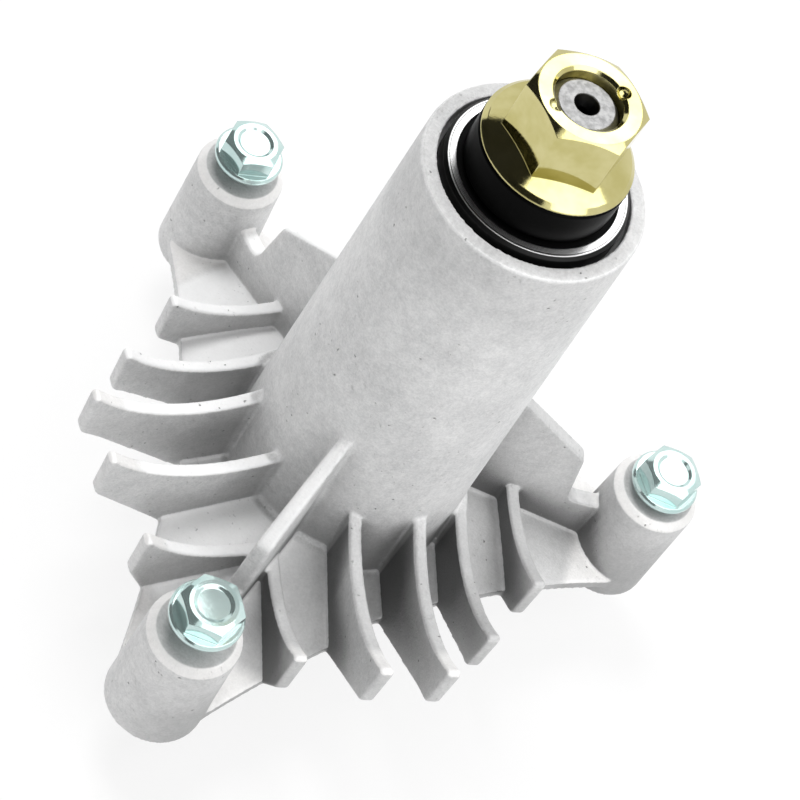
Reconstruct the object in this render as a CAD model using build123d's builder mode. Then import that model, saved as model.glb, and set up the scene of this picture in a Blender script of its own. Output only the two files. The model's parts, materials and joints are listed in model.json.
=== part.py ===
from build123d import *
import math
import os

# A mower deck spindle: a finned cast housing on three bolt bosses, with a shaft that turns in two
# sealed ball bearings. The nut end carries the pulley, the star end carries the blade.
# Millimetres. Z is the spindle axis, up towards the nut. Z = 0 is the deck face, the boss tops.

# Bolt bosses
boss_count = 3
boss_circle_r = 72.0
boss_r = 10.75
boss_foot_r = 11.6
boss_chamfer = 1.75
boss_heel = 0.4
front_angle = -90.0

# Spindle tube and its lower hub
tube_height = 95.0
tube_top_r = 24.3
tube_draft = 1.65
tube_edge_r = 0.7
hub_drop = 36.0
core_r = 17.8

# Sloped skirt that joins the tube to the bosses
skirt_drop = 13.7
skirt_slope = 15.6
skirt_wall = 3.2
skirt_waist = 40.9
root_fillet = 1.6
lobe_inset = 0.3
lobe_overlap = 0.4

# Webs from the tube to the bosses
web_thickness = 4.2
web_draft = 0.9
web_tube_z = 25.0
web_shoulder_r = 50.2
web_shoulder_z = 6.6
web_step_r = 53.0
web_shelf_z = -10.3
web_corner_r = 3.5
web_edge_r = 0.7

# Cooling fins, in two families that mirror each other about the front boss.
# Each tuple runs from the fin beside the rear web to the fin beside the front web.
fin_angle = 40.0
fin_thickness = 3.2
fin_pitch = 15.2
fin_first = -37.9
fin_reach = (38.0, 54.0, 67.5, 67.5, 60.5)
fin_tip_z = (-3.3, 0.5, 9.7, 9.4, -0.3)
fin_root_z = (-8.9, -4.0, 4.0, 3.2, -11.7)
fin_end_height = 15.2
fin_hollow_r = 36.0
fin_tip_r = 1.0
fin_heel_r = 2.6
fin_edge_r = 0.6
embed = 2.0

# Ball bearings, two of one size
bearing_r = 20.0
bearing_bore_r = 8.5
bearing_width = 12.0
bearing_edge = 0.7
ball_count = 8
ball_r = 3.3735
outer_land_step = 2.35
inner_land_step = 2.25
seal_lip = 0.9
seal_recess = 0.5
seal_wall = 0.9
cage_wall = 0.7
cage_width = 2.5
bearing_proud = 1.5
bearing_recess = 2.0
mouth_relief = 0.9
mouth_depth = 3.0

# Shaft, star hub and what is stacked on the shaft
thread_r = 7.14
thread_below_nut_top = 1.8
journal_above_bearing = 2.0
end_chamfer = 1.25
centre_r = 2.7
drill_r = 1.3
drill_depth = 9.0
neck_r = 11.6
neck_length = 4.0
flange_r = 24.0
flange_wall = 8.0
flange_edge_r = 1.5
star_points = 5
star_outer_r = 13.0
star_inner_r = 9.3
star_height = 7.0
star_tip_r = 1.2
blade_hole_r = 4.3
blade_hole_depth = 30.0
sleeve_wall = 2.4
spacer_r = 16.4
spacer_height = 9.4
spacer_foot = 0.9
spacer_edge = 0.8
nut_across_flats = 22.225
nut_height = 15.7
nut_flange_r = 16.3
nut_flange_wall = 1.3
nut_flange_rise = 1.6
nut_flange_edge = 1.0
nut_chamfer = 30.0
nut_top_inset = 0.3
nut_mouth_r = 7.9
nut_dent_r = 1.5
nut_dent_circle_r = 8.0
nut_dent_angle = 59.0
nut_turn = 30.0

# Deck bolts, left standing out of the bosses by different amounts: front, right rear, left rear
bolt_r = 3.9
bolt_length = 22.0
bolt_proud = (6.6, 3.0, 4.6)
bolt_turns = (20.0, 18.0, 41.0)
bolt_across_flats = 12.7
bolt_head_height = 6.0
bolt_head_chamfer = 0.9
bolt_washer_r = 8.3
bolt_washer_wall = 1.3
bolt_washer_edge = 0.5
bolt_dish_r = 4.4
bolt_dish_depth = 0.5
bolt_dish_edge = 0.7
bolt_root_r = 3.4
bolt_root_length = 8.0
bolt_tip = 1.2
hole_spare = 4.0

# Clearances
press_gap = 0.02
thread_gap = 0.06
sleeve_gap = 0.1
ball_gap = 0.12
pocket_gap = 0.1
lip_gap = 0.3
seal_gap = 0.05
cage_gap = 0.02

# Values that follow from the sizes above
tube_taper = math.tan(math.radians(tube_draft))
skirt_fall = math.tan(math.radians(skirt_slope))
half_sector = 180.0 / boss_count
skirt_foot_r = tube_top_r + (tube_height + skirt_drop) * tube_taper
skirt_r = boss_circle_r + boss_foot_r
boss_drop = skirt_drop + (skirt_r - skirt_foot_r) * skirt_fall + skirt_wall + boss_heel
ball_pitch_r = (bearing_r + bearing_bore_r) / 2
outer_land_r = ball_pitch_r + outer_land_step
inner_land_r = ball_pitch_r - inner_land_step
seal_groove_r = outer_land_r + seal_lip
cage_inner_r = ball_pitch_r - cage_width / 2
cage_outer_r = ball_pitch_r + cage_width / 2
upper_mid = tube_height + bearing_proud - bearing_width / 2
lower_mid = -hub_drop + bearing_recess + bearing_width / 2
spacer_z = upper_mid + bearing_width / 2
nut_z = spacer_z + spacer_height
thread_top = nut_z + nut_height - thread_below_nut_top
thread_root = spacer_z + journal_above_bearing
neck_z = lower_mid - bearing_width / 2
flange_z = neck_z - neck_length
star_z = flange_z - flange_wall
shaft_foot = star_z - star_height
half_web = web_thickness / 2

os.makedirs("parts", exist_ok=True)


def tube_radius(z):
    """Outside of the drafted tube at a height."""
    return tube_top_r + (tube_height - z) * tube_taper


def skirt_top(r):
    """Height of the skirt's upper face at a distance from the axis."""
    return -skirt_drop - (r - skirt_foot_r) * skirt_fall


def direction(angle):
    """Unit vector in the deck plane."""
    return Vector(math.cos(math.radians(angle)), math.sin(math.radians(angle)), 0)


def upright_plane(angle, offset):
    """Plane with local X outwards along the angle and local Y up, moved sideways by the offset."""
    return Plane(
        origin=direction(angle + 90) * offset,
        x_dir=direction(angle),
        z_dir=direction(angle - 90),
    )


def skirt_edge(angle, offset, side_angle):
    """Distance along an upright plane at which it leaves the skirt's hollow side."""
    start = direction(angle + 90) * offset - direction(side_angle) * side_arc_centre
    along = start.dot(direction(angle))
    return -along - math.sqrt(along**2 - start.length**2 + side_arc_r**2)


# The three sides of the skirt are hollow arcs that run into the boss feet
lobe_r = boss_foot_r - lobe_inset - lobe_overlap
lobe_x = boss_circle_r * math.cos(math.radians(half_sector))
lobe_y = boss_circle_r * math.sin(math.radians(half_sector))
waist_step = skirt_waist - lobe_x
side_arc_r = (lobe_y**2 + waist_step**2 - lobe_r**2) / (2 * (lobe_r - waist_step))
side_arc_centre = skirt_waist + side_arc_r

with BuildSketch() as skirt_outline:
    with PolarLocations(boss_circle_r, boss_count, front_angle):
        Circle(boss_foot_r - lobe_inset)
    make_hull()
    with PolarLocations(side_arc_centre, boss_count, front_angle + half_sector):
        Circle(side_arc_r, mode=Mode.SUBTRACT)


def make_web():
    """One web in the front plane, from inside the tube wall to inside the boss."""
    inner_r = tube_radius(0) - embed
    outer_r = boss_circle_r - bolt_r - embed
    base_depth = skirt_wall / 2
    with BuildPart() as web:
        with BuildSketch(upright_plane(front_angle, 0)):
            with BuildLine():
                Polyline(
                    (inner_r, web_tube_z),
                    (tube_radius(web_tube_z), web_tube_z),
                    (web_shoulder_r, web_shoulder_z),
                    (web_step_r, web_shelf_z),
                    (outer_r, web_shelf_z),
                    (outer_r, skirt_top(outer_r) - base_depth),
                    (inner_r, skirt_top(inner_r) - base_depth),
                    close=True,
                )
            make_face()
            shoulder, step = vertices().group_by(Axis.X)[-3:-1]
            fillet(shoulder + step, web_corner_r)
        extrude(amount=half_web, both=True)
        sides = faces().sort_by(Axis.X)
        draft([sides[0], sides[-1]], Plane.XY.offset(web_shelf_z), web_draft)
        ridge = faces().filter_by(lambda face: face.normal_at().Z > 0.3)
        fillet(ridge.edges().filter_by(Axis.X, reverse=True), web_edge_r)
    return web.part


def make_fin(offset, reach, tip_z, root_z):
    """One fin of the left family: a flat blade with a hollow top edge and an overhanging end."""
    angle = front_angle - fin_angle
    wall_r = tube_radius(root_z) - embed
    rear_web = front_angle - 2 * half_sector
    tube_hit = math.sqrt(max(wall_r**2 - offset**2, 0))
    rear_hit = -offset / math.tan(math.radians(angle - rear_web))
    front_hit = offset / math.tan(math.radians(fin_angle))
    inner = max(tube_hit, rear_hit, front_hit)
    edge = skirt_edge(angle, offset, front_angle - half_sector)
    base_depth = skirt_wall / 2
    inner_base = skirt_top(math.hypot(inner, offset)) - base_depth
    edge_base = skirt_top(math.hypot(edge, offset)) - skirt_wall
    with BuildPart() as fin:
        with BuildSketch(upright_plane(angle, offset)):
            with BuildLine():
                RadiusArc((inner, root_z), (reach, tip_z), -fin_hollow_r)
                Polyline(
                    (reach, tip_z),
                    (reach, tip_z - fin_end_height),
                    (edge, edge_base),
                    (inner, inner_base),
                    (inner, root_z),
                )
            make_face()
            tip, heel = vertices().sort_by(Axis.X)[-2:].sort_by(Axis.Y)[::-1]
            fillet(tip, fin_tip_r)
            heel = vertices().sort_by(Axis.X)[-3:].sort_by(Axis.Y)[0]
            fillet(heel, fin_heel_r)
        extrude(amount=fin_thickness / 2, both=True)
        across = Axis((0, 0, 0), direction(angle + 90))
        flanks = faces().filter_by(across)
        fillet(flanks.edges(), fin_edge_r)
    return fin.part


web = make_web()
fins = [
    make_fin(fin_first + place * fin_pitch, *sizes)
    for place, sizes in enumerate(zip(fin_reach, fin_tip_z, fin_root_z))
]

with BuildPart() as housing:
    skirt_foot = skirt_top(skirt_r) - skirt_wall
    hub_r = tube_radius(-hub_drop)
    with BuildSketch(Plane.XZ):
        with BuildLine():
            Polyline(
                (core_r, tube_height),
                (tube_top_r, tube_height),
                (skirt_foot_r, -skirt_drop),
                (skirt_r, skirt_foot + skirt_wall),
                (skirt_r, skirt_foot),
                (tube_radius(-skirt_drop - skirt_wall), -skirt_drop - skirt_wall),
                (hub_r, -hub_drop),
                (core_r, -hub_drop),
                close=True,
            )
        make_face()
        upper_root, lower_root = vertices().group_by(Axis.X)[2:4]
        fillet(upper_root + lower_root, root_fillet)
        fillet(vertices().group_by(Axis.Y)[-1].sort_by(Axis.X)[-1], tube_edge_r)
    revolve(axis=Axis.Z)
    with BuildSketch(Plane.XY.offset(skirt_foot - embed)):
        Circle(skirt_r + embed)
        add(skirt_outline.sketch, mode=Mode.SUBTRACT)
    extrude(amount=-skirt_foot, mode=Mode.SUBTRACT)
    with Locations((0, 0, -boss_drop)):
        with PolarLocations(boss_circle_r, boss_count, front_angle):
            Cone(boss_foot_r, boss_r, boss_drop - boss_chamfer, align=(Align.CENTER, Align.CENTER, Align.MIN))
    with Locations((0, 0, -boss_chamfer)):
        with PolarLocations(boss_circle_r, boss_count, front_angle):
            Cone(boss_r, boss_r - boss_chamfer, boss_chamfer, align=(Align.CENTER, Align.CENTER, Align.MIN))
    for turn in range(boss_count):
        add(web.rotate(Axis.Z, turn * 360 / boss_count))
    for fin in fins:
        add(fin)
        add(fin.mirror(Plane.YZ))
    with BuildSketch(Plane.XZ) as bores:
        seat_r = bearing_r + press_gap
        upper_shelf = upper_mid - bearing_width / 2
        lower_shelf = lower_mid + bearing_width / 2
        with BuildLine():
            Polyline(
                (0, tube_height),
                (seat_r + mouth_relief, tube_height),
                (seat_r + mouth_relief, tube_height - mouth_depth),
                (seat_r, tube_height - mouth_depth),
                (seat_r, upper_shelf),
                (core_r, upper_shelf),
                (core_r, lower_shelf),
                (seat_r, lower_shelf),
                (seat_r, -hub_drop + mouth_depth),
                (seat_r + mouth_relief, -hub_drop + mouth_depth),
                (seat_r + mouth_relief, -hub_drop),
                (0, -hub_drop),
                close=True,
            )
        make_face()
    revolve(axis=Axis.Z, mode=Mode.SUBTRACT)
    with PolarLocations(boss_circle_r, boss_count, front_angle):
        hole_depth = bolt_length - min(bolt_proud) + hole_spare
        Cylinder(
            bolt_r + thread_gap,
            hole_depth,
            align=(Align.CENTER, Align.CENTER, Align.MAX),
            mode=Mode.SUBTRACT,
        )
housing.part.label = "housing"
export_step(housing.part, "parts/housing.step")


half_width = bearing_width / 2
seal_top = half_width - seal_recess
seal_floor = seal_top - seal_wall
track_r = ball_r + ball_gap
pocket_r = ball_r + pocket_gap
outer_profile = (
    (outer_land_r, -seal_floor),
    (seal_groove_r, -seal_floor),
    (seal_groove_r, -half_width),
    (bearing_r - bearing_edge, -half_width),
    (bearing_r, -half_width + bearing_edge),
    (bearing_r, half_width - bearing_edge),
    (bearing_r - bearing_edge, half_width),
    (seal_groove_r, half_width),
    (seal_groove_r, seal_floor),
    (outer_land_r, seal_floor),
)
inner_profile = (
    (bearing_bore_r + bearing_edge, -half_width),
    (inner_land_r, -half_width),
    (inner_land_r, half_width),
    (bearing_bore_r + bearing_edge, half_width),
    (bearing_bore_r, half_width - bearing_edge),
    (bearing_bore_r, -half_width + bearing_edge),
)


def make_race(profile, mid):
    """Turn a race and take the ball track out of it."""
    with BuildPart() as race:
        with BuildSketch(Plane.XZ):
            with BuildLine():
                Polyline(*[(r, mid + z) for r, z in profile], close=True)
            make_face()
            with Locations((ball_pitch_r, mid)):
                Circle(track_r, mode=Mode.SUBTRACT)
        revolve(axis=Axis.Z)
    return race


def make_cage(mid, side):
    """Half of the pressed cage: a flat ring with a cupped pocket over each ball."""
    ring_plane = Plane.XY.offset(mid + side * cage_gap)
    with BuildPart() as cage:
        with Locations((0, 0, mid)):
            with PolarLocations(ball_pitch_r, ball_count):
                Sphere(pocket_r + cage_wall)
        with BuildSketch(ring_plane):
            Circle(cage_outer_r)
            Circle(cage_inner_r, mode=Mode.SUBTRACT)
        extrude(amount=side * half_width, mode=Mode.INTERSECT)
        with BuildSketch(ring_plane):
            Circle(cage_outer_r)
            Circle(cage_inner_r, mode=Mode.SUBTRACT)
        extrude(amount=side * cage_wall)
        with Locations((0, 0, mid)):
            with PolarLocations(ball_pitch_r, ball_count):
                Sphere(pocket_r, mode=Mode.SUBTRACT)
    return cage


def make_seal(mid, side):
    """Rubber shield let into the face of the outer race."""
    with BuildPart() as seal:
        with BuildSketch(Plane.XY.offset(mid + side * seal_floor)):
            Circle(seal_groove_r - seal_gap)
            Circle(inner_land_r + lip_gap, mode=Mode.SUBTRACT)
        extrude(amount=side * seal_wall)
    return seal


for place, mid in (("upper", upper_mid), ("lower", lower_mid)):
    outer_race = make_race(outer_profile, mid)
    outer_race.part.label = f"{place}_outer_race"
    export_step(outer_race.part, f"parts/{place}_outer_race.step")

    inner_race = make_race(inner_profile, mid)
    inner_race.part.label = f"{place}_inner_race"
    export_step(inner_race.part, f"parts/{place}_inner_race.step")

    with BuildPart() as balls:
        with Locations((0, 0, mid)):
            with PolarLocations(ball_pitch_r, ball_count):
                Sphere(ball_r)
    balls.part.label = f"{place}_balls"
    export_step(balls.part, f"parts/{place}_balls.step")

    for end, side in (("top", 1), ("bottom", -1)):
        cage = make_cage(mid, side)
        cage.part.label = f"{place}_cage_{end}"
        export_step(cage.part, f"parts/{place}_cage_{end}.step")

        seal = make_seal(mid, side)
        seal.part.label = f"{place}_seal_{end}"
        export_step(seal.part, f"parts/{place}_seal_{end}.step")

# The shaft is one turned piece with the blade flange and the star forged on its foot
with BuildPart() as shaft:
    journal_r = bearing_bore_r - press_gap
    with BuildSketch(Plane.XZ):
        with BuildLine():
            Polyline(
                (0, star_z),
                (flange_r, star_z),
                (flange_r, flange_z),
                (neck_r, flange_z),
                (neck_r, neck_z),
                (journal_r, neck_z),
                (journal_r, thread_root),
                (thread_r, thread_root + journal_r - thread_r),
                (thread_r, thread_top - end_chamfer),
                (thread_r - end_chamfer, thread_top),
                (0, thread_top),
                close=True,
            )
        make_face()
        fillet(vertices().group_by(Axis.X)[-1], flange_edge_r)
    revolve(axis=Axis.Z)
    with BuildSketch(Plane.XY.offset(shaft_foot)) as star:
        corners = []
        for point in range(2 * star_points):
            reach = star_outer_r if point % 2 == 0 else star_inner_r
            corner = direction(point * 180 / star_points) * reach
            corners.append((corner.X, corner.Y))
        with BuildLine():
            Polyline(*corners, close=True)
        make_face()
        fillet(vertices(), star_tip_r)
    extrude(amount=star_height)
    with Locations((0, 0, shaft_foot)):
        Cylinder(
            blade_hole_r,
            blade_hole_depth,
            align=(Align.CENTER, Align.CENTER, Align.MIN),
            mode=Mode.SUBTRACT,
        )
    with BuildSketch(Plane.XZ):
        cone_depth = (centre_r - drill_r) / math.tan(math.radians(30))
        with BuildLine():
            Polyline(
                (0, thread_top),
                (centre_r, thread_top),
                (drill_r, thread_top - cone_depth),
                (drill_r, thread_top - drill_depth),
                (0, thread_top - drill_depth),
                close=True,
            )
        make_face()
    revolve(axis=Axis.Z, mode=Mode.SUBTRACT)
shaft.part.label = "shaft"
export_step(shaft.part, "parts/shaft.step")

with BuildPart() as spacer_sleeve:
    sleeve_bore_r = bearing_bore_r + sleeve_gap
    with BuildSketch(Plane.XY.offset(lower_mid + half_width)):
        Circle(sleeve_bore_r + sleeve_wall)
        Circle(sleeve_bore_r, mode=Mode.SUBTRACT)
    extrude(amount=upper_mid - lower_mid - bearing_width)
spacer_sleeve.part.label = "spacer_sleeve"
export_step(spacer_sleeve.part, "parts/spacer_sleeve.step")

with BuildPart() as spacer_collar:
    collar_bore_r = bearing_bore_r + sleeve_gap
    foot_r = inner_land_r - lip_gap
    with BuildSketch(Plane.XZ):
        with BuildLine():
            Polyline(
                (collar_bore_r, spacer_z),
                (foot_r, spacer_z),
                (foot_r, spacer_z + spacer_foot),
                (spacer_r, spacer_z + spacer_foot),
                (spacer_r, nut_z - spacer_edge),
                (spacer_r - spacer_edge, nut_z),
                (collar_bore_r, nut_z),
                close=True,
            )
        make_face()
    revolve(axis=Axis.Z)
spacer_collar.part.label = "spacer_collar"
export_step(spacer_collar.part, "parts/spacer_collar.step")

with BuildPart() as flange_nut:
    hex_r = nut_across_flats / 2
    nut_top = nut_z + nut_height
    flange_top = nut_z + nut_flange_wall
    nut_bore_r = thread_r + thread_gap
    with BuildSketch(Plane.XY.offset(nut_z)):
        RegularPolygon(hex_r, 6, major_radius=False, rotation=nut_turn)
    extrude(amount=nut_height)
    with BuildSketch(Plane.XZ):
        corner_r = hex_r / math.cos(math.radians(30)) + embed
        top_r = hex_r - nut_top_inset
        with BuildLine():
            Polyline(
                (0, nut_z),
                (corner_r, nut_z),
                (corner_r, nut_top - (corner_r - top_r) * math.tan(math.radians(nut_chamfer))),
                (top_r, nut_top),
                (0, nut_top),
                close=True,
            )
        make_face()
    revolve(axis=Axis.Z, mode=Mode.INTERSECT)
    with BuildSketch(Plane.XZ):
        with BuildLine():
            Polyline(
                (0, nut_z),
                (nut_flange_r, nut_z),
                (nut_flange_r, flange_top - nut_flange_edge),
                (nut_flange_r - nut_flange_edge, flange_top),
                (hex_r, flange_top + nut_flange_rise),
                (0, flange_top + nut_flange_rise),
                close=True,
            )
        make_face()
    revolve(axis=Axis.Z)
    with BuildSketch(Plane.XZ):
        with BuildLine():
            Polyline(
                (0, nut_z),
                (nut_bore_r, nut_z),
                (nut_bore_r, nut_top - nut_mouth_r + nut_bore_r),
                (nut_mouth_r, nut_top),
                (0, nut_top),
                close=True,
            )
        make_face()
    revolve(axis=Axis.Z, mode=Mode.SUBTRACT)
    with Locations((0, 0, nut_top)):
        with PolarLocations(nut_dent_circle_r, 2, nut_dent_angle):
            Sphere(nut_dent_r, mode=Mode.SUBTRACT)
flange_nut.part.label = "flange_nut"
export_step(flange_nut.part, "parts/flange_nut.step")


def make_bolt(proud, turn):
    """Deck bolt at the origin with a hexagon washer head, its point down."""
    hex_r = bolt_across_flats / 2
    head_top = proud + bolt_head_height
    tip_z = proud - bolt_length
    with BuildPart() as bolt:
        with BuildSketch(Plane.XY.offset(proud)):
            RegularPolygon(hex_r, 6, major_radius=False, rotation=turn)
        extrude(amount=bolt_head_height)
        with BuildSketch(Plane.XZ):
            with BuildLine():
                Polyline(
                    (0, proud),
                    (hex_r + embed, proud),
                    (hex_r + embed, head_top - (bolt_head_chamfer + embed) / 2),
                    (hex_r - bolt_head_chamfer, head_top),
                    (0, head_top),
                    close=True,
                )
            make_face()
        revolve(axis=Axis.Z, mode=Mode.INTERSECT)
        with BuildSketch(Plane.XZ):
            with BuildLine():
                Polyline(
                    (0, proud + bolt_washer_wall),
                    (bolt_washer_r - bolt_washer_edge, proud + bolt_washer_wall),
                    (bolt_washer_r, proud + bolt_washer_wall - bolt_washer_edge),
                    (bolt_washer_r, proud),
                    (bolt_root_r, proud),
                    (bolt_root_r, proud - bolt_root_length),
                    (bolt_r, proud - bolt_root_length - bolt_r + bolt_root_r),
                    (bolt_r, tip_z + bolt_tip),
                    (bolt_r - bolt_tip, tip_z),
                    (0, tip_z),
                    close=True,
                )
            make_face()
        revolve(axis=Axis.Z)
        with Locations((0, 0, head_top)):
            Cone(
                bolt_dish_r - bolt_dish_edge,
                bolt_dish_r,
                bolt_dish_depth,
                align=(Align.CENTER, Align.CENTER, Align.MAX),
                mode=Mode.SUBTRACT,
            )
    return bolt.part


with BuildPart() as mounting_bolts:
    for place, (proud, turn) in enumerate(zip(bolt_proud, bolt_turns)):
        with Locations(direction(front_angle + 2 * half_sector * place) * boss_circle_r):
            add(make_bolt(proud, turn))
mounting_bolts.part.label = "mounting_bolts"
export_step(mounting_bolts.part, "parts/mounting_bolts.step")
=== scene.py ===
# %% [markdown]
# # A mower deck spindle
# The part carries a mower blade below the deck and a belt pulley above it. A cast aluminium housing holds two
# sealed ball bearings, and a steel shaft turns in them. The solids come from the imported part, so this lesson only
# dresses them: it sinks the skirt between the fins, softens the casting, adds the small threads and gives every piece
# its finish. Then it sets up a bright table-top light.

import json
import math
from types import SimpleNamespace

import bmesh
import bpy
from mathutils import Matrix, Vector


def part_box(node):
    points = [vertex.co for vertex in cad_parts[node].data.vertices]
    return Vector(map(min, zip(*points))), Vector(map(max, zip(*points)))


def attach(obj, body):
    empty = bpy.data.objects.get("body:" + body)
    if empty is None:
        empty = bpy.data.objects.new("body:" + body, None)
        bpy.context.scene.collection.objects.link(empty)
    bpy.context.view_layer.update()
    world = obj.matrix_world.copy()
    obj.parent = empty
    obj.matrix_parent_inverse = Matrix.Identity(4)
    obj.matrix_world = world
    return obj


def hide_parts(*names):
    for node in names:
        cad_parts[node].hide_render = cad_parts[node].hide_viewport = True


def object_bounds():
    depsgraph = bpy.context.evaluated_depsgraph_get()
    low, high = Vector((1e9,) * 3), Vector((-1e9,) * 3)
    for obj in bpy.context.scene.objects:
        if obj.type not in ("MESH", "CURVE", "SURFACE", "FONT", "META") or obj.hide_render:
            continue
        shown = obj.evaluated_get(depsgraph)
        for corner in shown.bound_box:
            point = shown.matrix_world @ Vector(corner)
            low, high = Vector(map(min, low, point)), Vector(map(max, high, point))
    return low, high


MM = 0.001
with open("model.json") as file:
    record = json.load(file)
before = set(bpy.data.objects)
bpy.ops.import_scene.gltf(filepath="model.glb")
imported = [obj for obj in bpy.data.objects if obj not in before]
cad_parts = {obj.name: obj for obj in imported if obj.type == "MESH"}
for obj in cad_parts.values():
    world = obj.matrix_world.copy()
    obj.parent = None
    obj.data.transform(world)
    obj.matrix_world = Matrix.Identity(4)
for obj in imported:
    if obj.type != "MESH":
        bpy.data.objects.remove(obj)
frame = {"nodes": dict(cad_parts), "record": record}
cad_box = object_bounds()
scene = bpy.context.scene
scene.view_settings.view_transform = "Standard"
print("nodes:", len(frame["nodes"]))

# %% [markdown]
# ## The camera
# The photograph looks down on the boss side of the spindle and is turned, so that the tube leans to the right.
# A camera can be aimed with a constraint, but the roll is easier to read from three directions, so its matrix is
# built from the way it looks and the way that is up in the picture. The long lens keeps the perspective weak.

# %% Camera
photo_pixels = 800
focal_pixels = 2473
sensor_width = 36.0
camera_place = Vector((27.0, -341.7, 448.4)) * MM
camera_forward = Vector((-0.0440, 0.6162, -0.7863)).normalized()
camera_up = Vector((-0.6118, 0.6057, 0.5088))


def aim(place, forward, up):
    """Matrix of a camera or lamp at a place that looks along forward, with up upwards in its picture."""
    right = forward.cross(up).normalized()
    top = right.cross(forward)
    turn = Matrix((right, top, -forward)).transposed().to_4x4()
    return Matrix.Translation(place) @ turn


camera = bpy.data.objects.new("camera", bpy.data.cameras.new("camera"))
camera.matrix_world = aim(camera_place, camera_forward, camera_up)
camera.data.sensor_width = sensor_width
camera.data.lens = sensor_width * focal_pixels / photo_pixels
camera.data.clip_start = 0.01
camera.data.clip_end = 20.0
scene.collection.objects.link(camera)
scene.camera = camera
print("lens:", round(camera.data.lens, 1), "mm")

# %% [markdown]
# ## Pockets between the middle fins
# On each finned side the skirt is sunk between the three middle fins, so they stand deeper there than beside the webs.
# Modelling the sunk skirt in one go would mean trimming faces at odd angles. Plain blocks are easier: one block cuts
# the old skirt away, a lower plate closes the gap, and blades carry the fins down to it. The blocks may overlap as they
# like, because the voxels of the next step melt them together. One family of fins is drawn, and the other is its
# mirror image.

# %% Sizes of the pockets, in millimetres along, beside and above the fins
fin_direction = math.radians(-130.0)
fin_half = 1.6
fin_offsets = (-22.7, -7.5, 7.7)
# How far out and how high each fin's lower corner lies
fin_heels = ((54.0, -14.7), (67.5, -5.5), (67.5, -5.8))
heel_lower = (-0.9, 0.3)
heel_upper = (-3.0, 5.0)
cut_start, cut_end = 5.0, 52.0
cut_top, cut_depth = -8.0, 16.0
plate_wall = 3.2
plate_edge = 38.2
plate_sweep = 0.364
# Each plate's height, how far out it has that height, and its fall for each millimetre
plate_tops = ((-21.5, 18.0, 0.18), (-21.0, 27.0, 0.15))
plate_roots = (8.0, 21.5, 21.5)
blade_top = -12.0
blade_foot_in, blade_foot_out = -24.0, -26.0
tube_wall = ((21.0, -5.0), (27.18, -5.0), (27.73, -26.0), (21.0, -26.0))
tube_steps = 180
print("sunk plates:", 2 * len(plate_tops))


# %% Helpers for blocks
def object_of(mesh, name):
    """New object at the origin that holds the bmesh."""
    made = bpy.data.objects.new(name, bpy.data.meshes.new(name))
    mesh.to_mesh(made.data)
    mesh.free()
    scene.collection.objects.link(made)
    return made


def add_block(mesh, corners, shift):
    """Add a closed block: a flat outline along, beside and above the fins, carried by a shift."""
    turn = Matrix.Rotation(fin_direction, 4, "Z")
    outline = mesh.faces.new([mesh.verts.new(turn @ Vector(corner) * MM) for corner in corners])
    carried = bmesh.ops.extrude_face_region(mesh, geom=[outline], use_keep_orig=True)
    far = [item for item in carried["geom"] if isinstance(item, bmesh.types.BMVert)]
    bmesh.ops.translate(mesh, verts=far, vec=turn @ Vector(shift) * MM)


def add_both_families(mesh):
    """Mirror the blocks of one family to the other, and turn all faces outwards."""
    half = [*mesh.verts, *mesh.edges, *mesh.faces]
    bmesh.ops.mirror(mesh, geom=half, axis="X", merge_dist=-1.0)
    bmesh.ops.recalc_face_normals(mesh, faces=mesh.faces)


def plate_reach(beside):
    """How far out the sunk plate goes at a distance beside the axis."""
    return plate_edge / math.cos(math.atan(plate_sweep)) + plate_sweep * beside


print("the plates reach out", [round(plate_reach(offset), 1) for offset in fin_offsets], "mm along the fins")


# %% What is cut away
def pocket_cutters():
    mesh = bmesh.new()
    for near, far in zip(fin_offsets, fin_offsets[1:]):
        left, right = near + fin_half, far - fin_half
        plan = ((cut_start, left), (cut_end, left), (cut_end, right), (cut_start, right))
        corners = [(along, beside, cut_top) for along, beside in plan]
        add_block(mesh, corners, (0.0, 0.0, -cut_depth))
    add_both_families(mesh)
    return object_of(mesh, "pocket_cutters")


cutters = pocket_cutters()
print("cutters have", len(cutters.data.polygons), "faces")


# %% What is put in
def add_plates(mesh):
    gaps = zip(fin_offsets, fin_offsets[1:], plate_roots, plate_roots[1:], plate_tops)
    for near, far, near_root, far_root, (top, start, fall) in gaps:
        plan = ((near_root, near), (plate_reach(near), near), (plate_reach(far), far), (far_root, far))
        corners = [(along, beside, top - fall * (along - start)) for along, beside in plan]
        add_block(mesh, corners, (0.0, 0.0, -plate_wall))


def add_blades(mesh):
    for offset, root, (heel_along, heel_height) in zip(fin_offsets, plate_roots, fin_heels):
        reach = plate_reach(offset)
        heel = [(heel_along + along, heel_height + up) for along, up in (heel_lower, heel_upper)]
        side = ((root, blade_top), (root, blade_foot_in), (reach, blade_foot_out), *heel, (reach, blade_top))
        corners = [(along, offset - fin_half, height) for along, height in side]
        add_block(mesh, corners, (0.0, 2 * fin_half, 0.0))


def add_tube_wall(mesh):
    """Ring that closes the tube where a cutter reached into it."""
    corners = [mesh.verts.new(Vector((r, 0.0, z)) * MM) for r, z in tube_wall]
    edges = [mesh.edges.new(pair) for pair in zip(corners, corners[1:] + corners[:1])]
    bmesh.ops.spin(
        mesh, geom=[*corners, *edges], cent=(0.0, 0.0, 0.0), axis=(0.0, 0.0, 1.0), angle=2.0 * math.pi,
        steps=tube_steps, use_merge=True)
    bmesh.ops.recalc_face_normals(mesh, faces=mesh.faces)


blocks = bmesh.new()
add_plates(blocks)
add_blades(blocks)
add_both_families(blocks)
add_tube_wall(blocks)
print("blocks have", len(blocks.faces), "faces")

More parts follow.
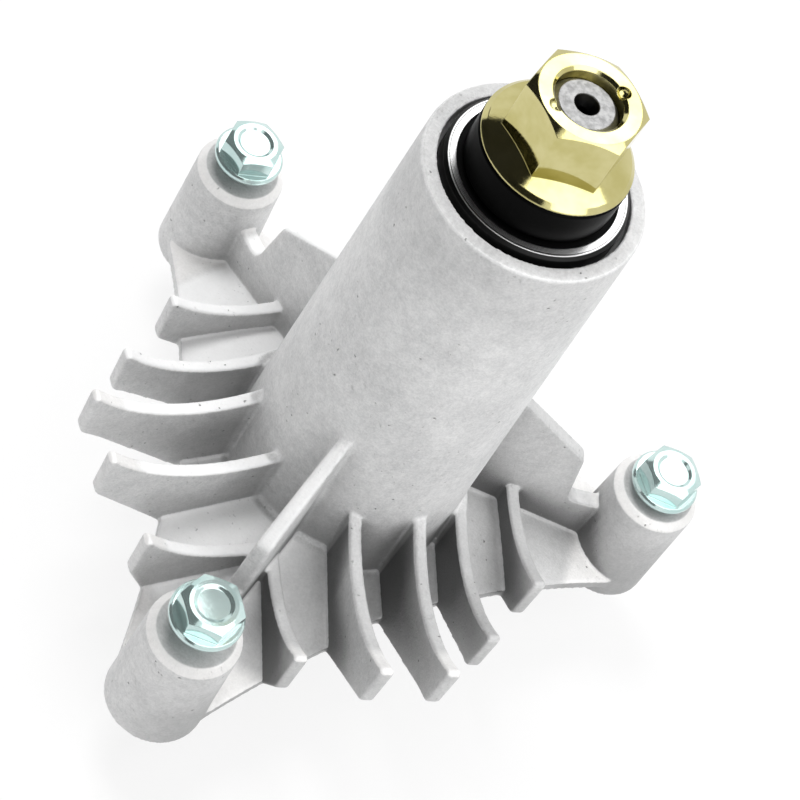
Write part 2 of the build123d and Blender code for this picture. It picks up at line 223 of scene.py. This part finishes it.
# %% [markdown]
# ## The casting, softened
# Molten metal leaves no sharp edge: every fin of the real housing runs into the tube and the skirt with a small
# hollow, and its own edges are blunt. Bevelling the solid would mean picking hundreds of edges on a skin of loose
# triangles. Here a copy is welded, cut, joined with the blocks, filled with small voxels and smoothed a few times,
# which rounds the edges and fills the corners at once, and flat faces stay flat. Then the flat parts give up the
# triangles that they don't need.

# %% Soft casting
weld_distance = 0.001 * MM
voxel_size = 0.45 * MM
smooth_share = 0.5
smooth_passes = 3
most_triangles = 185000


def apply_modifiers(piece):
    """Give a piece the mesh that its modifiers make."""
    made = bpy.data.meshes.new_from_object(piece.evaluated_get(bpy.context.evaluated_depsgraph_get()))
    piece.modifiers.clear()
    piece.data = made


def pocketed(solid, name):
    """Welded copy of a solid, with the pockets cut and the blocks put in."""
    mesh = bmesh.new()
    mesh.from_mesh(solid.data)
    bmesh.ops.remove_doubles(mesh, verts=mesh.verts, dist=weld_distance)
    piece = object_of(mesh, name)
    cut = piece.modifiers.new("cut", "BOOLEAN")
    cut.operation = "DIFFERENCE"
    cut.object = cutters
    apply_modifiers(piece)
    bpy.data.objects.remove(cutters)
    blocks.from_mesh(piece.data)
    blocks.to_mesh(piece.data)
    blocks.free()
    return piece


def soften(piece):
    """Blunt the edges and fill the corners, as a mould does, and thin the mesh where it is flat."""
    skin = piece.modifiers.new("skin", "REMESH")
    skin.mode = "VOXEL"
    skin.voxel_size = voxel_size
    skin.use_smooth_shade = True
    ease = piece.modifiers.new("ease", "SMOOTH")
    ease.factor = smooth_share
    ease.iterations = smooth_passes
    apply_modifiers(piece)
    triangles = sum(len(face.vertices) - 2 for face in piece.data.polygons)
    thin = piece.modifiers.new("thin", "DECIMATE")
    thin.ratio = min(1.0, most_triangles / triangles)
    apply_modifiers(piece)
    print(piece.name, "has", triangles, "triangles, thinned to", len(piece.data.polygons))


casting = pocketed(frame["nodes"]["housing"], "casting_body")
soften(casting)
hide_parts("housing")
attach(casting, "casting")

# %% [markdown]
# ## Threads
# The deck bolts cut their own thread into the bosses, and they stand part way out, so a few turns show below each
# head. The blade bolt goes into a threaded hole in the end of the shaft. A thread is one triangle that is carried
# round the axis and along it. Blender's spin does that in one step, because it also takes a shift for each step. The
# triangle's foot is sunk a little into the shank, so no gap shows.

# %% A helical ridge
thread_facets = 36
thread_sink = 0.1 * MM
foot_share = 0.44


def thread_ridge(name, axis_place, length, foot_r, crest_r, pitch):
    """Thread that runs down from a place on its axis, with its crest outside or inside its foot."""
    half = foot_share * pitch
    sink = math.copysign(thread_sink, crest_r - foot_r)
    mesh = bmesh.new()
    corners = ((foot_r - sink, half), (crest_r, 0.0), (foot_r - sink, -half))
    triangle = [mesh.verts.new(axis_place + Vector((r, 0.0, z - half))) for r, z in corners]
    start = mesh.faces.new(triangle)
    turns = length / pitch
    steps = round(turns * thread_facets)
    bmesh.ops.spin(
        mesh,
        geom=[start, *start.edges, *triangle],
        cent=axis_place,
        axis=(0.0, 0.0, 1.0),
        dvec=(0.0, 0.0, -length / steps),
        angle=-2.0 * math.pi * turns,
        steps=steps,
    )
    bmesh.ops.remove_doubles(mesh, verts=mesh.verts, dist=weld_distance)
    bmesh.ops.recalc_face_normals(mesh, faces=mesh.faces)
    print(name, "has", round(turns, 1), "turns")
    return object_of(mesh, name)


# %% Threads of the deck bolts
boss_circle_r = 72.0 * MM
bolt_pitch = 1.41 * MM
bolt_foot_r = 3.4 * MM
bolt_crest_r = 3.88 * MM
bolt_thread_length = 6.4 * MM
# Angle round the axis, and how far the head stands above the boss in millimetres
bolt_stands = {"front": (-90.0, 6.6), "right_rear": (30.0, 3.0), "left_rear": (150.0, 4.6)}
threads = []
for side, (angle, stand) in bolt_stands.items():
    turn = Matrix.Rotation(math.radians(angle), 4, "Z")
    under_head = turn @ Vector((boss_circle_r, 0.0, stand * MM))
    thread = thread_ridge(
        "bolt_thread_" + side, under_head, bolt_thread_length, bolt_foot_r, bolt_crest_r, bolt_pitch)
    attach(thread, "casting")
    threads.append(thread)

# %% Thread of the blade hole
blade_hole_r = 4.3 * MM
blade_crest_r = 3.95 * MM
blade_pitch = 1.59 * MM
blade_thread_length = 20.0 * MM
hole_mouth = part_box("shaft")[0][2]
blade_thread = thread_ridge(
    "blade_thread", Vector((0.0, 0.0, hole_mouth + blade_thread_length + blade_pitch)), blade_thread_length,
    blade_hole_r, blade_crest_r, blade_pitch)
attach(blade_thread, "spindle")
print("the hole's mouth is at", round(hole_mouth / MM, 1), "mm on the axis")

# %% [markdown]
# ## Numbers that become nodes
# A finish is a small sum: a grey, a little darker where a noise is high, rougher where it is scratched. Wiring each
# Math node by hand hides that sum. So a socket is wrapped in a class with Python's operators, and writing
# `0.5 + 0.1 * noise` adds the nodes. All other nodes come from one method of the finish.


# %% A class for sums
class Amount:
    """A node's output that carries a number, a colour or a vector."""

    def __init__(self, finish, socket):
        self.finish = finish
        self.socket = socket

    def math(self, operation, first, second):
        return self.finish.node("Math", {"operation": operation}, {0: first, 1: second})

    def __add__(self, other):
        return self.math("ADD", self, other)

    def __radd__(self, other):
        return self.math("ADD", other, self)

    def __sub__(self, other):
        return self.math("SUBTRACT", self, other)

    def __rsub__(self, other):
        return self.math("SUBTRACT", other, self)

    def __mul__(self, other):
        return self.math("MULTIPLY", self, other)

    def __rmul__(self, other):
        return self.math("MULTIPLY", other, self)

    def sine(self):
        return self.finish.node("Math", {"operation": "SINE"}, {0: self})

    def ramp(self, low, high):
        """0 below low, 1 above high, and smooth between them."""
        settings = {"interpolation_type": "SMOOTHSTEP"}
        return self.finish.node("MapRange", settings, {"Value": self, "From Min": low, "From Max": high})


# %% A class for finishes
class Finish:
    """The nodes of a material or a world, written as sums."""

    def __init__(self, owner):
        self.owner = owner
        owner.use_nodes = True
        self.tree = owner.node_tree
        self.tree.nodes.clear()

    def node(self, kind, settings=None, sockets=None, output=0):
        """Add a node, set it up, fill or link its inputs and give back one output."""
        made = self.tree.nodes.new("ShaderNode" + kind)
        for name, value in (settings or {}).items():
            setattr(made, name, value)
        for name, value in (sockets or {}).items():
            if isinstance(value, Amount):
                self.tree.links.new(value.socket, made.inputs[name])
            else:
                made.inputs[name].default_value = value
        return Amount(self, made.outputs[output]) if made.outputs else None

    def place(self):
        """Where a point is on the piece, in millimetres."""
        metres = self.node("TexCoord", output="Object")
        return self.node("VectorMath", {"operation": "SCALE"}, {0: metres, "Scale": 1.0 / MM})

    def noise(self, place, scale, detail=3.0, roughness=0.5, output=0):
        values = {"Vector": place, "Scale": scale, "Detail": detail, "Roughness": roughness}
        return self.node("TexNoise", {"normalize": True}, values, output)

    def stretched(self, place, factors):
        return self.node("VectorMath", {"operation": "MULTIPLY"}, {0: place, 1: factors})

    def shaken(self, place, scale, reach):
        """The place, pushed about by a noise, so that what is drawn there gets a ragged edge."""
        push = self.noise(place, scale, 3.0, 0.6, "Color")
        around = self.node("VectorMath", {"operation": "SUBTRACT"}, {0: push, 1: (0.5, 0.5, 0.5)})
        shift = self.node("VectorMath", {"operation": "SCALE"}, {0: around, "Scale": reach})
        return self.node("VectorMath", {"operation": "ADD"}, {0: place, 1: shift})

    def turned(self, place, degrees):
        values = {"Vector": place, "Rotation": tuple(math.radians(angle) for angle in degrees)}
        return self.node("Mapping", {"vector_type": "POINT"}, values)

    def along(self, place, axis):
        return self.node("SeparateXYZ", sockets={"Vector": place}, output=axis)

    def flat(self, place):
        """The place, seen from above."""
        return self.stretched(place, (1.0, 1.0, 0.0))

    def from_axis(self, place):
        """Distance from the spindle axis."""
        return self.node("VectorMath", {"operation": "LENGTH"}, {0: self.flat(place)}, "Value")

    def mixed(self, share, first, second):
        """Colour that goes from the first to the second as the share goes from 0 to 1."""
        return self.node("Mix", {"data_type": "RGBA"}, {0: share, 6: first, 7: second}, 2)

    def bumps(self, height, depth, over=None):
        """Normals of a surface whose height varies by the given depth in millimetres."""
        sockets = {"Height": height, "Strength": 1.0, "Distance": depth * MM}
        if over is not None:
            sockets["Normal"] = over
        return self.node("Bump", sockets=sockets)

    def rounded(self, radius):
        """Normals as if the edges had that radius, in millimetres."""
        return self.node("Bevel", {"samples": 6}, {"Radius": radius * MM})

    def seen_rays(self):
        """1 for rays that show the surroundings to the camera, straight or by a reflection."""
        straight = self.node("LightPath", output="Is Camera Ray")
        reflected = self.node("LightPath", output="Is Glossy Ray")
        through = self.node("LightPath", output="Is Transmission Ray")
        return straight + reflected + through

    def surface(self, **sockets):
        """The shader itself. Underscores in a socket's name stand for spaces."""
        values = {name.replace("_", " "): value for name, value in sockets.items()}
        shader = self.node("BsdfPrincipled", sockets=values)
        self.node("OutputMaterial", sockets={"Surface": shader})
        return self.owner


def new_finish(name):
    return Finish(bpy.data.materials.new(name))


def grey(level, warmth=0.0):
    """A grey, slightly warm or cold."""
    return (level * (1 + warmth), level, level * (1 - warmth), 1.0)


print("finish helpers are ready")

# %% [markdown]
# ## The casting's finish
# The housing is pressure die cast and then blast cleaned, so it is an even satin silver with a fine grain. The skirt's
# faces that look up are painted paler as a painted highlight, less so on the right side, and so are the tops of the
# bosses. The rim of the tube is cut on a machine and looks greyer, and round each bolt the boss top carries the painted
# shadow of its head.
# Edges are rubbed bright. Walls that stand close together, the lower right side and the skirt on the right are painted
# darker as painted shade, and the walls of the bosses and the tube's end are a little darker. Close up there are cloudy
# patches, small dark pits and short scuffs from handling. One sum for all of this would be hard to read, so the finish
# says first where a point lies, then which marks are there, and mixes the colour last.

# %% Where a point lies on the casting
tube_skin_r = (28.5, 30.0)
boss_zone_r = (58.0, 62.0)
# Radius round each bolt inside which the boss top carries the painted shadow of the head
head_shadow_r = (8.7, 9.1)
right_zone_x = (-8.0, 14.0)
low_zone_z = (-26.0, 0.0)
tube_end_z = (68.0, 90.0)


def boss_seats(finish, place):
    """1 round the axis of each bolt boss, under the head of the bolt, where the painted shadow of the head goes."""
    share = 0.0
    for boss_angle, _ in bolt_stands.values():
        axis = Matrix.Rotation(math.radians(boss_angle), 3, "Z") @ Vector((boss_circle_r / MM, 0.0, 0.0))
        gap = finish.node("VectorMath", {"operation": "DISTANCE"}, {0: finish.flat(place), 1: axis}, "Value")
        share = share + (1 - gap.ramp(*head_shadow_r))
    return share


def casting_zones(finish, place):
    """Shares from 0 to 1 that say which part of the casting a point belongs to."""
    zone = SimpleNamespace()
    facing_up = finish.along(finish.node("NewGeometry", output="Normal"), "Z")
    radius = finish.from_axis(place)
    height = finish.along(place, "Z")
    zone.outside = radius.ramp(*tube_skin_r)
    zone.bosses = radius.ramp(*boss_zone_r)
    zone.right_side = finish.along(place, "X").ramp(*right_zone_x)
    zone.low = 1 - height.ramp(*low_zone_z)
    zone.tube_end = height.ramp(*tube_end_z) * (1 - zone.outside)
    zone.rim = facing_up.ramp(0.8, 0.95) * (1 - zone.outside)
    zone.skirt_tops = facing_up.ramp(0.3, 0.7) * zone.outside * (1 - zone.bosses)
    zone.boss_tops = facing_up.ramp(0.3, 0.5) * zone.bosses
    # Share of the painted shadow of each bolt head on its boss top
    zone.seats = boss_seats(finish, place) * zone.boss_tops
    zone.walls = 1 - facing_up.ramp(0.15, 0.5)
    return zone


print("bolt seats:", len(bolt_stands))

# %% [markdown]
# ### Marks on the casting
# Each mark is a noise at its own size. The pits are cells of a Voronoi texture, and the place is shaken first, because
# a perfect circle would look printed on. Scuffs are a noise that is stretched along one direction. Rubbed edges
# and the painted shade in corners come from ambient occlusion, which tells how much a point is shut in by the metal
# below it or by the walls round it.

# %% Marks
edge_reach = 1.4 * MM
shade_reach = 16.0 * MM


def casting_marks(finish, place):
    """Noises and shares of the marks on the casting's surface."""
    mark = SimpleNamespace()
    clouds = finish.noise(place, 0.06, 4.0, 0.6)
    mark.mottle = finish.noise(place, 0.5, 5.0, 0.65)
    mark.grain = finish.noise(place, 1.7, 4.0, 0.7)
    even = 0.3 * mark.mottle.ramp(0.3, 0.7) + 0.4 * mark.grain.ramp(0.3, 0.7)
    mark.tone = 0.3 * clouds.ramp(0.35, 0.65) + even
    patches = finish.noise(place, 0.1, 2.0)
    ragged = finish.shaken(place, 1.4, 1.1)
    cells = finish.node("TexVoronoi", {"feature": "F1"}, {"Vector": ragged, "Scale": 0.32})
    mark.pits = (1 - cells.ramp(0.04, 0.11)) * patches.ramp(0.44, 0.56)
    strokes = finish.stretched(finish.turned(place, (0.0, 35.0, 20.0)), (1.0, 1.0, 0.2))
    mark.scuffs = finish.noise(strokes, 1.2, 5.0, 0.7).ramp(0.60, 0.70) * patches.ramp(0.42, 0.60)
    solid_share = finish.node("AmbientOcclusion", {"samples": 6, "inside": True}, {"Distance": edge_reach}, "AO")
    mark.worn = (1 - solid_share).ramp(0.2, 0.55) * (0.4 + 0.6 * mark.mottle.ramp(0.35, 0.6))
    open_share = finish.node("AmbientOcclusion", {"samples": 8}, {"Distance": shade_reach}, "AO")
    # Painted shade where walls shut a point in
    mark.shut_in = (1 - open_share).ramp(0.1, 0.65)
    return mark


# The second reach is that of the painted shade in corners
print("edges are rubbed", edge_reach / MM, "mm wide, and dust reaches", shade_reach / MM, "mm out of a corner")


# %% Cast aluminium
def base_casting_colour(finish, zone, mark):
    """Colour of the casting before the painted shade and the marks, with painted highlights on faces that look up and
    the painted shadows of the bolt heads.
    """
    skin = finish.mixed(mark.tone, grey(0.56, -0.006), grey(0.86, 0.002))
    # Painted highlight on the skirt's faces that look up, weaker on the right side
    painted_top_highlight = finish.mixed(mark.tone, grey(0.90), grey(0.97))
    faced = finish.mixed(mark.tone, grey(0.44), grey(0.70))
    # Painted highlight on the tops of the bosses
    boss = finish.mixed(mark.tone, grey(0.76, 0.01), grey(0.90, 0.01))
    # Painted shadow of each bolt head on its boss top
    seat = finish.mixed(mark.tone, grey(0.40), grey(0.62))
    colour = finish.mixed(zone.skirt_tops * (1 - 0.7 * zone.right_side), skin, painted_top_highlight)
    colour = finish.mixed(zone.rim, colour, faced)
    colour = finish.mixed(zone.boss_tops, colour, boss)
    return finish.mixed(zone.seats, colour, seat)


def painted_shade_share(zone, mark):
    """How much painted shade darkens a point: most in corners and low on the right side, with the boss walls and the
    tube's end a little darker.
    """
    # Painted shade in corners, strongest on the right side
    corners = mark.shut_in * (0.2 + 0.25 * zone.outside + 0.5 * zone.right_side)
    # Painted shade on walls low on the right side
    low_right_shade = (0.15 + 0.35 * zone.low) * zone.right_side * zone.outside
    # Walls of the bosses and of the tube's end a little darker
    darkening = 0.06 * zone.bosses + 0.13 * zone.tube_end
    # Painted shade on the right skirt's faces that look up
    return (corners + low_right_shade + darkening) * zone.walls + 0.3 * zone.right_side * zone.skirt_tops


def cast_aluminium():
    finish = new_finish("cast_aluminium")
    place = finish.place()
    zone = casting_zones(finish, place)
    mark = casting_marks(finish, place)
    colour = finish.mixed(0.7 * mark.worn, base_casting_colour(finish, zone, mark), grey(0.90))
    # Darken the colour by the painted shade
    colour = finish.mixed(painted_shade_share(zone, mark), colour, grey(0.14))
    colour = finish.mixed(0.4 * mark.scuffs, colour, grey(0.30))
    colour = finish.mixed(0.75 * mark.pits, colour, grey(0.12))
    rough = 0.48 + 0.1 * mark.mottle + 0.08 * mark.grain
    height = 0.6 * mark.grain + 0.4 * mark.mottle - mark.pits - 0.3 * mark.scuffs
    return finish.surface(Base_Color=colour, Metallic=0.25, Roughness=rough, Normal=finish.bumps(height, 0.22))


casting_finish = cast_aluminium()
print("made", casting_finish.name)

# %% [markdown]
# ## Plated steel
# The nut has a thin yellow passivated zinc layer and the deck bolts a clear one with a faint blue-green tint. Both are
# smooth and bright, the bolts a little milky. The layer's thickness drifts, so the tint does too. Wrenches and the
# plating barrel leave a haze of very fine scratches.


# %% Zinc plate
def zinc_plate(name, light, deep, haze, metal):
    finish = new_finish(name)
    place = finish.place()
    drift = finish.noise(place, 0.12, 3.0, 0.6)
    rub = finish.noise(finish.stretched(place, (1.0, 1.0, 0.25)), 1.8, 4.0, 0.7)
    colour = finish.mixed(drift.ramp(0.3, 0.7), light, deep)
    rough = haze + 0.07 * rub.ramp(0.45, 0.75)
    normal = finish.bumps(rub, 0.006, finish.rounded(0.3))
    return finish.surface(Base_Color=colour, Metallic=metal, Roughness=rough, Normal=normal)


yellow_zinc = zinc_plate("zinc_yellow", (0.62, 0.57, 0.28, 1), (0.52, 0.47, 0.19, 1), haze=0.06, metal=1.0)
bright_zinc = zinc_plate("zinc_bright", (0.64, 0.78, 0.76, 1), (0.52, 0.69, 0.67, 1), haze=0.1, metal=0.8)
print("made", yellow_zinc.name, "and", bright_zinc.name)

# %% [markdown]
# ## Bearing steel, turned steel and black parts
# The ring of the bearing is ground bright on its face, while its corner and outer wall are coloured dark. The
# shaft is turned, which leaves fine rings, and its centre hole is painted black as painted shade. Rings are the sine of
# the distance from the axis. The seals are moulded rubber, and the collar is blackened steel.

# %% Bearing steel and turned steel
ring_line_r = (18.75, 18.85, 18.95, 19.05)
# Beyond this radius the corner and outer wall of the ring are coloured dark
ring_darkening_r = (19.25, 19.4)
# Inside this radius the centre hole is painted black as painted shade
hole_shade_r = (2.5, 2.8)


def bearing_steel():
    finish = new_finish("bearing_steel")
    place = finish.place()
    radius = finish.from_axis(place)
    rings = (radius * 22.0).sine() * 0.5 + 0.5
    line = radius.ramp(*ring_line_r[:2]) * (1 - radius.ramp(*ring_line_r[2:]))
    darkening = radius.ramp(*ring_darkening_r)
    colour = finish.mixed(darkening + 0.85 * line, grey(0.70), grey(0.02))
    rough = 0.26 + 0.08 * rings + 0.1 * darkening
    return finish.surface(Base_Color=colour, Metallic=1.0, Roughness=rough, Normal=finish.rounded(0.25))


def turned_steel():
    finish = new_finish("shaft_steel")
    place = finish.place()
    radius = finish.from_axis(place)
    height = finish.along(place, "Z")
    rings = ((radius + height) * 16.0).sine() * 0.5 + 0.5
    stain = finish.noise(place, 0.55, 5.0, 0.7)
    bare = finish.mixed(stain.ramp(0.35, 0.7), grey(0.38), grey(0.22))
    # Painted shade in the centre hole
    colour = finish.mixed(radius.ramp(*hole_shade_r), grey(0.02), bare)
    rough = 0.36 + 0.12 * stain
    normal = finish.bumps(rings, 0.006, finish.rounded(0.3))
    return finish.surface(Base_Color=colour, Metallic=1.0, Roughness=rough, Normal=normal)


bearing_finish = bearing_steel()
shaft_finish = turned_steel()
print("made", bearing_finish.name, "and", shaft_finish.name)


# %% Cages and black parts
def pressed_steel():
    finish = new_finish("cage_steel")
    place = finish.place()
    stain = finish.noise(place, 0.7, 4.0, 0.6)
    colour = finish.mixed(stain, grey(0.48), grey(0.62))
    return finish.surface(Base_Color=colour, Metallic=1.0, Roughness=0.25 + 0.2 * stain)


def black_part(name, level, haze, gloss):
    finish = new_finish(name)
    place = finish.place()
    dust = finish.noise(place, 0.9, 5.0, 0.7)
    colour = finish.mixed(dust.ramp(0.55, 0.85), grey(level), grey(level * 2.2))
    rough = haze + 0.15 * dust
    normal = finish.bumps(dust, 0.01, finish.rounded(0.3))
    return finish.surface(Base_Color=colour, Specular_IOR_Level=gloss, Roughness=rough, Normal=normal)


cage_finish = pressed_steel()
seal_finish = black_part("seal_rubber", level=0.003, haze=0.4, gloss=0.04)
collar_finish = black_part("spacer_black", level=0.002, haze=0.25, gloss=0.03)
print("made", cage_finish.name + ",", seal_finish.name, "and", collar_finish.name)

# %% Give each piece the finish of its slot
slot_finish = {
    "cast_aluminium": casting_finish,
    "zinc_yellow": yellow_zinc,
    "zinc_bright": bright_zinc,
    "bearing_steel": bearing_finish,
    "shaft_steel": shaft_finish,
    "cage_steel": cage_finish,
    "seal_rubber": seal_finish,
    "spacer_black": collar_finish,
}


def dress(piece, slot):
    piece.data.materials.clear()
    piece.data.materials.append(slot_finish[slot])


for entry in frame["record"]["subparts"]:
    dress(frame["nodes"][entry["node"]], entry["material_slot"])
dress(casting, "cast_aluminium")
dress(blade_thread, "shaft_steel")
for thread in threads:
    dress(thread, "zinc_bright")

# %% [markdown]
# ## Light and floor
# The photograph is a bright table-top picture with only a faint shadow. A white world lights the part from all sides, a
# key lamp high behind it on the left shapes the tube, and a weak lamp opens the right side. Bright metal shows what
# stands round it, and a lamp in it would be a hard white spot. So the lamps are kept out of reflections. Instead two
# screens are seen only in bright metal and make its white bands, and two dark cards make its dark ones.

# %% World
room_light = 0.95
sky = Finish(bpy.data.worlds.new("studio"))
sky_colour = sky.mixed(sky.seen_rays(), grey(room_light), grey(1.0))
sky_glow = sky.node("Background", sockets={"Color": sky_colour, "Strength": 1.0})
sky.node("OutputWorld", sockets={"Surface": sky_glow})
scene.world = sky.owner
print("the world is white to the camera and", room_light, "as a lamp")

# %% Lamps and bright screens
target = Vector((0.0, 0.0, 0.02))
stand_up = Vector((0.3, 1.0, 0.2))
lamp_distance = 1.0


def way(azimuth, elevation):
    """Direction from the part, by its angle round the axis from +X and its angle above the floor."""
    round_axis = math.radians(azimuth)
    above = math.radians(elevation)
    flat = math.cos(above)
    return Vector((flat * math.cos(round_axis), flat * math.sin(round_axis), math.sin(above)))


def soft_lamp(name, azimuth, elevation, size, watts, lights, shows):
    """Round soft lamp that faces the part. It lights dull faces, or shows in bright ones, or both."""
    towards = way(azimuth, elevation)
    lamp = bpy.data.objects.new(name, bpy.data.lights.new(name, "AREA"))
    lamp.data.shape = "DISK"
    lamp.data.size = size
    lamp.data.energy = watts
    lamp.matrix_world = aim(target + towards * lamp_distance, -towards, stand_up)
    lamp.visible_diffuse = lights
    lamp.visible_glossy = shows
    scene.collection.objects.link(lamp)


soft_lamp("key_lamp", 160.0, 68.0, size=0.4, watts=7.0, lights=True, shows=False)
soft_lamp("side_lamp", -10.0, 62.0, size=0.7, watts=1.8, lights=True, shows=False)
soft_lamp("back_screen", 95.0, 52.0, size=0.4, watts=1.1, lights=False, shows=True)
soft_lamp("top_screen", -5.0, 62.0, size=1.2, watts=6.5, lights=False, shows=True)
print("lamps and screens:", len(bpy.data.lights))

# %% Dark cards
card_distance = 1.1


def black_card():
    finish = new_finish("studio_card")
    dark = finish.node("BsdfDiffuse", sockets={"Color": grey(0.03)})
    finish.node("OutputMaterial", sockets={"Surface": dark})
    return finish.owner


def dark_card(name, azimuth, elevation, size):
    """Square card that only reflections and soft light can see."""
    towards = way(azimuth, elevation)
    mesh = bmesh.new()
    bmesh.ops.create_grid(mesh, x_segments=1, y_segments=1, size=size / 2)
    turn = aim(target + towards * card_distance, -towards, stand_up)
    bmesh.ops.transform(mesh, matrix=turn, verts=mesh.verts)
    card = object_of(mesh, name)
    card.visible_camera = False
    card.visible_shadow = False
    card.data.materials.append(card_finish)
    print(name, "is", size, "m wide")


card_finish = black_card()
dark_card("left_card", -165.0, 45.0, size=1.7)
dark_card("room_card", -85.0, 40.0, size=0.6)

# %% [markdown]
# ### Floor
# The floor is a pale sheet below the lowest point. A sheet that is only lit would come out grey, and one that only
# glows would take no shadow. So it is both: most of what the camera sees is a white glow, and the rest is lit by the
# lamps and keeps a faint shadow.

# %% Floor
floor_gap = 0.5 * MM
floor_half = 3.0
floor_glow = 0.82


def pale_sheet():
    finish = new_finish("studio_floor")
    lit = finish.node("BsdfDiffuse", sockets={"Color": grey(0.92)})
    glow = finish.node("Emission", sockets={"Color": grey(1.0), "Strength": 1.0})
    both = finish.node("MixShader", sockets={0: finish.seen_rays() * floor_glow, 1: lit, 2: glow})
    finish.node("OutputMaterial", sockets={"Surface": both})
    return finish.owner


sheet = bmesh.new()
bmesh.ops.create_grid(sheet, x_segments=1, y_segments=1, size=floor_half)
bmesh.ops.translate(sheet, verts=sheet.verts, vec=(0.0, 0.0, cad_box[0][2] - floor_gap))
floor = object_of(sheet, "floor")
floor.data.materials.append(pale_sheet())
print("the part ends at", round(cad_box[0][2] / MM, 1), "mm, and the floor lies", floor_gap / MM, "mm below it")
